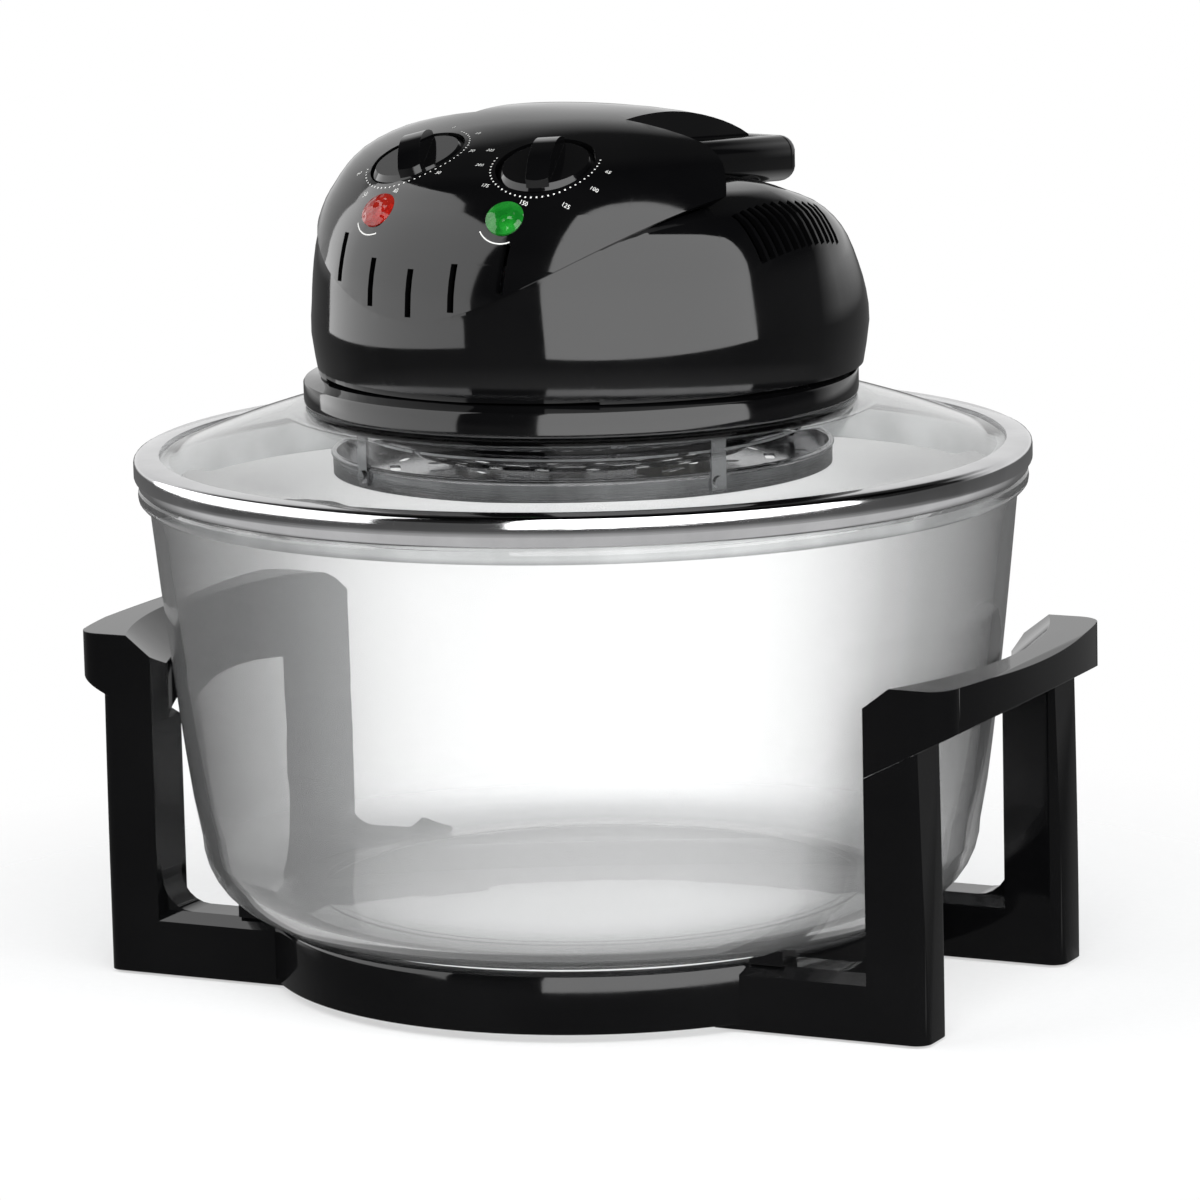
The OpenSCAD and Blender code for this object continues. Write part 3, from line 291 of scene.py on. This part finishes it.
def spun_metal(name, colour, rough, depth, per_radius=2500.0):
    """Polished or brushed metal with marks that run round the upright axis."""
    m = Mat(name, colour, rough, metallic=1.0)
    lines = m.noise(1.0, 3, 0.6, m.around(per_radius, per_radius, 6.0))
    smudge = m.noise(35, 4)
    dark = tuple(0.86 * c for c in colour)
    m.colours(smudge, dark, colour)
    m.link(m.math("ADD", m.ramp(smudge, 0.3, 0.7, rough * 0.8, rough * 1.3),
                  m.ramp(lines, 0.4, 0.7, 0.0, rough * 0.6)), m.bsdf.inputs["Roughness"])
    m.bump(lines, depth, 0.5)
    return m.mat


def plain(name, colour, rough, grain=500.0, depth=0.00003, metallic=0.0, spread=0.2,
          **sockets):
    """Cast, moulded or plated finish with a fine grain and a slight drift of colour."""
    m = Mat(name, colour, rough, metallic, **sockets)
    fine = m.noise(grain, 3)
    dark = tuple(c * (1 - spread) for c in colour)
    light = tuple(min(1.0, c * (1 + spread)) for c in colour)
    m.colours(m.noise(grain / 12, 4), dark, light)
    m.roughness(fine, rough * 0.85, min(1.0, rough * 1.15))
    m.bump(fine, depth, 0.6)
    return m.mat


def jewel(name, colour, deep):
    """Clear coloured plastic with a cut pattern, over a lamp that glows a little."""
    m = Mat(name, colour, 0.03, Transmission_Weight=0.8, IOR=1.5)
    m.colours(m.noise(160, 2), deep, colour)
    cut = m.add("ShaderNodeTexVoronoi")
    cut.inputs["Scale"].default_value = 300
    m.link(m.coord, cut.inputs["Vector"])
    m.bump(cut.outputs["Distance"], 0.0005)
    m.bsdf.inputs["Emission Strength"].default_value = 0.05
    m.bsdf.inputs["Emission Color"].default_value = (*colour, 1)
    return m.mat


LOOKS = {
    "black_gloss": gloss_black(),
    "black_matte": matte_black(),
    # The lid glass and the quartz tube get painted shade toward their edges
    "clear_glass": glass("clear_glass", (0.985, 0.99, 0.99), ((0.3, 1.0), (1.0, 0.7)), ior=1.3),
    "quartz": glass("quartz", (0.98, 0.98, 0.98), ((0.3, 1.0), (1.0, 0.8))),
    "steel_polished": spun_metal("steel_polished", (0.72, 0.72, 0.73), 0.07, 0.00002),
    "steel_brushed": spun_metal("steel_brushed", (0.58, 0.58, 0.59), 0.09, 0.00004),
    "screw_steel": plain("screw_steel", (0.5, 0.5, 0.52), 0.28, metallic=1.0),
    "black_rubber": plain("black_rubber", (0.02, 0.02, 0.021), 0.75, 700, 0.00008),
    "clear_silicone": plain("clear_silicone", (0.62, 0.63, 0.63), 0.4, 400, 0.00004),
    "tungsten": plain("tungsten", (0.42, 0.36, 0.3), 0.35, 800, metallic=1.0),
    "ceramic_white": plain("ceramic_white", (0.8, 0.78, 0.72), 0.6, 600, spread=0.06),
    "bronze": plain("bronze", (0.6, 0.42, 0.22), 0.4, 900, metallic=1.0),
    "motor_steel": plain("motor_steel", (0.3, 0.31, 0.33), 0.45, 450, metallic=0.8),
    "unit_grey": plain("unit_grey", (0.33, 0.34, 0.35), 0.5, 700),
    "lens_red": jewel("lens_red", (0.8, 0.05, 0.03), (0.5, 0.01, 0.008)),
    "lens_green": jewel("lens_green", (0.05, 0.62, 0.08), (0.012, 0.3, 0.03)),
}
# Painted shade: the bowl's colour falls from full in the middle to about a third toward its
# edges as seen
BOWL_GLASS = glass("bowl_glass", (0.99, 0.99, 0.99),
                   ((0.0, 1.0), (0.1, 0.98), (0.17, 0.88), (0.24, 0.74), (0.32, 0.58),
                    (0.42, 0.46), (0.7, 0.35)), 0.1)
PRINT = plain("printed_marks", (0.62, 0.62, 0.6), 0.5, 900, spread=0.08)

for part in frame["record"]["subparts"]:
    node = NODES[part["node"]]
    node.data.materials.clear()
    node.data.materials.append(LOOKS[part["material_slot"]])
NODES["glass_bowl"].data.materials[0] = BOWL_GLASS


# Shading of the CAD meshes
def smooth_group(name, angle):
    """Geometry nodes that merge the loose triangles and smooth all but the sharp edges."""
    group = bpy.data.node_groups.new(name, "GeometryNodeTree")
    for way in ("INPUT", "OUTPUT"):
        group.interface.new_socket("Geometry", in_out=way, socket_type="NodeSocketGeometry")
    nodes, links = group.nodes, group.links
    start, end = nodes.new("NodeGroupInput"), nodes.new("NodeGroupOutput")
    merge = nodes.new("GeometryNodeMergeByDistance")
    merge.inputs["Distance"].default_value = 2e-6
    faces = nodes.new("GeometryNodeSetShadeSmooth")
    faces.domain = "FACE"
    edges = nodes.new("GeometryNodeSetShadeSmooth")
    edges.domain = "EDGE"
    between = nodes.new("GeometryNodeInputMeshEdgeAngle")
    small = nodes.new("FunctionNodeCompare")
    small.data_type, small.operation = "FLOAT", "LESS_THAN"
    small.inputs["B"].default_value = math.radians(angle)
    links.new(between.outputs["Unsigned Angle"], small.inputs["A"])
    links.new(small.outputs["Result"], edges.inputs["Shade Smooth"])
    for a, b in ((start, merge), (merge, faces), (faces, edges), (edges, end)):
        links.new(a.outputs[0], b.inputs[0])
    return group


SHARP_ANGLE = 32
SMOOTH = smooth_group("smooth_edges", SHARP_ANGLE)
# Width in millimetres of the rounding on the edges that catch the light
BEVELS = {"base_ring": 0.5, "leg_front_left": 0.7, "leg_front_right": 0.7, "leg_rear_left": 0.7,
          "leg_rear_right": 0.7, "bowl_lugs": 0.6, "left_grip": 1.0, "right_grip": 1.0,
          "collar": 0.4, "timer_knob": 0.5, "thermostat_knob": 0.5}
# Faces that meet at less than this many degrees are joined before they are rounded
FLAT_ANGLE = 0.6
for name, node in NODES.items():
    mod = node.modifiers.new("smooth", "NODES")
    mod.node_group = SMOOTH
    if name in BEVELS:
        flat = node.modifiers.new("flat", "DECIMATE")
        flat.decimate_type = "DISSOLVE"
        flat.angle_limit = math.radians(FLAT_ANGLE)
        bevel = node.modifiers.new("bevel", "BEVEL")
        bevel.width = BEVELS[name] * MM
        bevel.segments = 2
        bevel.limit_method = "ANGLE"
        bevel.angle_limit = math.radians(SHARP_ANGLE)
        bevel.harden_normals = True


# Marks on the hood
hood = surface_tree("control_hood")
# The middle of a dot stands this many times higher than its rim
DOME = 1.6


def disc_fan(tree, place, x, y, r, sides=10):
    """Small printed dot on the surface."""
    rim = [drop(tree, place, x + r * math.cos(2 * math.pi * k / sides),
                y + r * math.sin(2 * math.pi * k / sides)) for k in range(sides)]
    return [drop(tree, place, x, y, LIFT * DOME)] + rim, [
        (0, 1 + k, 1 + (k + 1) % sides) for k in range(sides)]


def strip(tree, place, r1, r2, a1, a2, steps):
    """Printed band round a frame's axis; angles in degrees, 0 to the right."""
    verts = []
    for k in range(steps + 1):
        a = math.radians(a1 + (a2 - a1) * k / steps)
        for r in (r1, r2):
            verts.append(drop(tree, place, r * math.cos(a), r * math.sin(a)))
    return verts, [(2 * k, 2 * k + 1, 2 * k + 3, 2 * k + 2) for k in range(steps)]


def numeral(text, size):
    """Flat mesh of a number, centred on the origin: vertices and faces."""
    curve = bpy.data.curves.new("number", "FONT")
    curve.body = text
    curve.size = size
    curve.align_x, curve.align_y = "CENTER", "CENTER"
    curve.resolution_u = 2
    obj = bpy.data.objects.new("number", curve)
    bpy.context.scene.collection.objects.link(obj)
    bpy.context.view_layer.update()
    mesh = bpy.data.meshes.new_from_object(obj.evaluated_get(
        bpy.context.evaluated_depsgraph_get()))
    bm = bmesh.new()
    bm.from_mesh(mesh)
    bmesh.ops.remove_doubles(bm, verts=bm.verts, dist=1e-7)
    bmesh.ops.triangulate(bm, faces=bm.faces)
    bm.verts.index_update()
    verts = [v.co.copy() for v in bm.verts]
    faces = [[v.index for v in f.verts] for f in bm.faces]
    bm.free()
    bpy.data.objects.remove(obj)
    bpy.data.meshes.remove(mesh)
    bpy.data.curves.remove(curve)
    return verts, faces


def gather(parts):
    """Joins lists of vertices and faces into one."""
    verts, faces = [], []
    for v, f in parts:
        base = len(verts)
        verts += v
        faces += [[base + i for i in poly] for poly in f]
    return verts, faces


# Ring of a dial's dots, their radius, and the degrees from one to the next
DOT_RING_R = 21.2 * MM
DOT_R = 0.36 * MM
DOT_STEP = 6


def dial(side, name, first, last, labels, size):
    """Dots round the lower part of a well and its numbers, laid on the hood.

    first and last are the dots' end angles in degrees; a label is a text, the angle and the
    radius in millimetres of its middle."""
    place = knob_frame(side)
    dots = []
    for a in range(first, last - 1, -DOT_STEP):
        turn = math.radians(a)
        dots.append(disc_fan(hood, place, DOT_RING_R * math.cos(turn),
                             DOT_RING_R * math.sin(turn), DOT_R))
    piece("dots_" + name, *gather(dots), PRINT, "ceramic_white", "lid")
    numbers = []
    for text, angle, r in labels:
        turn = math.radians(angle)
        verts, faces = numeral(text, size)
        x, y = r * MM * math.cos(turn), r * MM * math.sin(turn)
        laid = [drop(hood, place, x + v.x, y + v.y) for v in verts]
        numbers.append((laid, faces))
    piece("numbers_" + name, *gather(numbers), PRINT, "ceramic_white", "lid")


dial(-1, "timer", 66, -164,
     (("0", 87, 24.6), ("10", 45, 24.8), ("20", 4, 25.2), ("30", -37, 25), ("40", -80, 23.9),
      ("50", -121, 24.8), ("60", -163, 25.2)), 2.6 * MM)
dial(1, "thermostat", 25, -176,
     (("65", 8, 26.6), ("100", -14, 27.6), ("125", -40, 27.2), ("150", -77, 23.5),
      ("175", -125, 24.6), ("200", -161, 26.4), ("225", -186, 28.4)), 2.4 * MM)
ARC_R, ARC_W = 10.3 * MM, 0.5 * MM
ARC_FROM, ARC_TO, ARC_STEPS = -150, -70, 18
for side, name in ((-1, "power"), (1, "heat")):
    verts, faces = strip(hood, lens_frame(side), ARC_R, ARC_R + ARC_W, ARC_FROM, ARC_TO,
                         ARC_STEPS)
    piece("arc_" + name, verts, faces, PRINT, "ceramic_white", "lid")


# The lamp's coil
def coil(name, mat):
    """Coiled filament in the middle of the ring lamp's tube, open at the rear."""
    wire, coil_r, pitch = 0.32 * MM, 1.25 * MM, 1.25 * MM
    gap, per_turn, sides = 10, 8, 4
    arc = math.radians(360 - 2 * gap)
    start = math.radians(90 + gap)
    turns = int(arc * LAMP_R * MM / pitch)
    steps = turns * per_turn
    spine = []
    for k in range(steps + 1):
        a = start + arc * k / steps
        w = 2 * math.pi * k / per_turn
        r = LAMP_R * MM + coil_r * math.cos(w)
        spine.append(Vector((r * math.cos(a), r * math.sin(a),
                             LAMP_Z * MM + coil_r * math.sin(w))))
    verts, faces = [], []
    for k, p in enumerate(spine):
        ahead = spine[min(k + 1, steps)] - spine[max(k - 1, 0)]
        ahead.normalize()
        side = ahead.cross(Vector((0, 0, 1))).normalized()
        up = side.cross(ahead)
        for j in range(sides):
            w = 2 * math.pi * j / sides
            verts.append(p + (side * math.cos(w) + up * math.sin(w)) * wire)
        if k:
            for j in range(sides):
                a, b = sides * (k - 1), sides * k
                faces.append((a + j, a + (j + 1) % sides, b + (j + 1) % sides, b + j))
    turned = [lid_frame() @ v for v in verts]
    return piece(name, turned, faces, mat, "tungsten", "lid")


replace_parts(coil("lamp_coil", LOOKS["tungsten"]), "lamp_filament")


# Floor, world, lamps, camera
FLOOR_RADIUS, FLOOR_DROP = 3.0, 0.0005
# The floor's grey shows inside the first of these radii and is gone past the second
FADE_START, FADE_END = 0.2, 0.42
# Share of plain white that the camera sees mixed into the floor
FLOOR_GLOW = 0.5


def floor():
    """Pale floor that keeps the object's shadow and fades into the white backdrop."""
    mesh = bpy.data.meshes.new("floor")
    bm = bmesh.new()
    bmesh.ops.create_circle(bm, cap_ends=True, segments=96, radius=FLOOR_RADIUS)
    bm.to_mesh(mesh)
    bm.free()
    obj = bpy.data.objects.new("floor", mesh)
    bpy.context.scene.collection.objects.link(obj)
    obj.location.z = -FLOOR_DROP
    m = Mat("floor_pale", (0.86, 0.86, 0.86), 0.9)
    m.bsdf.inputs["Specular IOR Level"].default_value = 0.0
    m.colours(m.noise(300, 3), (0.8, 0.8, 0.8), (0.82, 0.82, 0.82))
    length = m.add("ShaderNodeVectorMath", operation="LENGTH")
    m.link(m.coord, length.inputs[0])
    fade = m.ramp(length.outputs["Value"], FADE_START, FADE_END, 0.0, 1.0)
    clear = m.add("ShaderNodeBsdfTransparent")
    glow = m.add("ShaderNodeEmission")
    path = m.add("ShaderNodeLightPath")
    seen = m.math("MAXIMUM", path.outputs["Is Camera Ray"], path.outputs["Is Transmission Ray"])
    soft = m.add("ShaderNodeMixShader")
    m.link(m.math("MULTIPLY", seen, FLOOR_GLOW), soft.inputs["Fac"])
    m.link(m.bsdf.outputs["BSDF"], soft.inputs[1])
    m.link(glow.outputs["Emission"], soft.inputs[2])
    mix = m.add("ShaderNodeMixShader")
    m.link(fade, mix.inputs["Fac"])
    m.link(soft.outputs[0], mix.inputs[1])
    m.link(clear.outputs["BSDF"], mix.inputs[2])
    m.link(mix.outputs[0], m.tree.nodes["Material Output"].inputs["Surface"])
    obj.data.materials.append(m.mat)
    obj.visible_glossy = False


# The camera, solved from the rim's and the bowl's ellipses in the photograph
CAM_AZ, CAM_EL, CAM_ROLL = math.radians(26.14), math.radians(10.41), math.radians(-1.33)
CAM_TARGET = Vector((4.79, 2.35, 145.78)) * MM
CAM_DISTANCE = 2.5
CAM_SENSOR, CAM_LENS = 36, 191.53


# Level and tint of the light from all round
SKY_COLOUR, SKY_LEVEL = (0.9, 0.95, 1.0, 1), 0.25
# The bright sweep behind the object begins and is full at these cosines from straight behind
SWEEP_START, SWEEP_FULL, SWEEP_DARK = 0.35, 0.6, 0.02
# Grey levels by the sine of the elevation: of the sweep, and of the table all round
SWEEP_HEIGHTS = ((-0.08, 0.05), (0.0, 1.0), (0.42, 1.0), (0.58, 0.04))
TABLE_HEIGHTS = ((-0.55, 0.8), (-0.3, 0.13), (0.03, 0.1), (0.15, 0.0))


def world():
    """White to the camera and through glass; metal and glass mirror a dark room."""
    w = bpy.data.worlds.new("studio")
    bpy.context.scene.world = w
    w.use_nodes = True
    tree = w.node_tree
    nodes, links = tree.nodes, tree.links
    out = nodes["World Output"]
    lit = nodes["Background"]
    lit.inputs["Color"].default_value = SKY_COLOUR
    lit.inputs["Strength"].default_value = SKY_LEVEL
    white = nodes.new("ShaderNodeBackground")
    white.inputs["Color"].default_value = (1, 1, 1, 1)
    white.inputs["Strength"].default_value = 1.0

    def math_node(operation, a, b):
        """Output of a Math node on two sockets or numbers."""
        node = nodes.new("ShaderNodeMath")
        node.operation = operation
        for socket, value in zip(node.inputs, (a, b)):
            if isinstance(value, float):
                socket.default_value = value
            else:
                links.new(value, socket)
        return node.outputs[0]

    def choose(factor, first, second):
        """Output of a Mix Shader node."""
        node = nodes.new("ShaderNodeMixShader")
        for socket, value in zip(node.inputs, (factor, first, second)):
            links.new(value, socket)
        return node.outputs[0]

    coord = nodes.new("ShaderNodeTexCoord")
    behind = nodes.new("ShaderNodeVectorMath")
    behind.operation = "DOT_PRODUCT"
    behind.inputs[1].default_value = (-math.sin(CAM_AZ), math.cos(CAM_AZ), 0.0)
    links.new(coord.outputs["Generated"], behind.inputs[0])
    split = nodes.new("ShaderNodeSeparateXYZ")
    links.new(coord.outputs["Generated"], split.inputs[0])
    sweep = nodes.new("ShaderNodeMapRange")
    for key, number in (("From Min", SWEEP_START), ("From Max", SWEEP_FULL),
                        ("To Min", SWEEP_DARK), ("To Max", 1.0)):
        sweep.inputs[key].default_value = number
    links.new(behind.outputs["Value"], sweep.inputs["Value"])
    height = nodes.new("ShaderNodeMapRange")
    height.inputs["From Min"].default_value = -1.0
    links.new(split.outputs["Z"], height.inputs["Value"])

    def heights(levels):
        """Brightness by the sine of the elevation."""
        ramp = nodes.new("ShaderNodeValToRGB")
        links.new(height.outputs[0], ramp.inputs["Fac"])
        stops = ramp.color_ramp.elements
        for k, (z, grey) in enumerate(levels):
            stop = stops[k] if k < 2 else stops.new(0.5 + z / 2)
            stop.position = 0.5 + z / 2
            stop.color = (grey, grey, grey, 1)
        return ramp.outputs["Color"]

    bright = math_node("MULTIPLY", sweep.outputs[0], heights(SWEEP_HEIGHTS))
    mirrored = nodes.new("ShaderNodeBackground")
    links.new(math_node("ADD", bright, heights(TABLE_HEIGHTS)), mirrored.inputs["Strength"])
    # Rays that were mirrored on their way see the dark room, also through glass
    path = nodes.new("ShaderNodeLightPath")
    straight = math_node("LESS_THAN", path.outputs["Glossy Depth"], 0.5)
    through = math_node("MULTIPLY", straight, path.outputs["Is Transmission Ray"])
    seen = math_node("MAXIMUM", path.outputs["Is Camera Ray"], through)
    bounced = math_node("GREATER_THAN", path.outputs["Glossy Depth"], 0.5)
    shiny = math_node("MAXIMUM", path.outputs["Is Glossy Ray"], bounced)
    room = choose(shiny, lit.outputs[0], mirrored.outputs[0])
    links.new(choose(seen, room, white.outputs[0]), out.inputs["Surface"])


def softbox(name, place, aim, width, height, radiance):
    """Rectangular lamp that shows in gloss as an evenly lit panel."""
    data = bpy.data.lights.new(name, "AREA")
    data.shape = "RECTANGLE"
    data.size, data.size_y = width, height
    data.energy = radiance * math.pi * width * height
    obj = bpy.data.objects.new(name, data)
    bpy.context.scene.collection.objects.link(obj)
    ahead = (Vector(aim) - Vector(place)).normalized()
    obj.rotation_euler = ahead.to_track_quat("-Z", "Y").to_euler()
    obj.location = place
    obj.visible_camera = False
    obj.visible_transmission = False


def camera():
    """Camera at the photograph's place, turned by its roll."""
    right = Vector((math.cos(CAM_AZ), math.sin(CAM_AZ), 0))
    back = Vector((math.sin(CAM_AZ) * math.cos(CAM_EL), -math.cos(CAM_AZ) * math.cos(CAM_EL),
                   math.sin(CAM_EL)))
    up = back.cross(right)
    across = right * math.cos(CAM_ROLL) + up * math.sin(CAM_ROLL)
    above = up * math.cos(CAM_ROLL) - right * math.sin(CAM_ROLL)
    data = bpy.data.cameras.new("camera")
    obj = bpy.data.objects.new("camera", data)
    bpy.context.scene.collection.objects.link(obj)
    place = Matrix((across, above, back)).transposed().to_4x4()
    place.translation = CAM_TARGET + back * CAM_DISTANCE
    obj.matrix_world = place
    data.sensor_width = CAM_SENSOR
    data.lens = CAM_LENS
    bpy.context.scene.camera = obj


def panel(name, az, distance, left, right, low, high, radiance):
    """Upright softbox square to an azimuth, with its edges across and up in metres."""
    a = CAM_AZ + math.radians(az)
    out = Vector((math.sin(a), -math.cos(a), 0))
    across = Vector((math.cos(a), math.sin(a), 0))
    place = out * distance + across * (left + right) / 2 + Vector((0, 0, (low + high) / 2))
    softbox(name, place, place - out, right - left, high - low, radiance)


floor()
world()
camera()
panel("wall_right", az=0, distance=0.9, left=-0.275, right=2.6, low=0.06, high=2.2,
      radiance=3.8)
panel("wall_left", az=-90, distance=0.9, left=-0.8, right=0.75, low=0.1, high=1.45,
      radiance=2.3)

scene = bpy.context.scene
scene.view_settings.view_transform = "Standard"
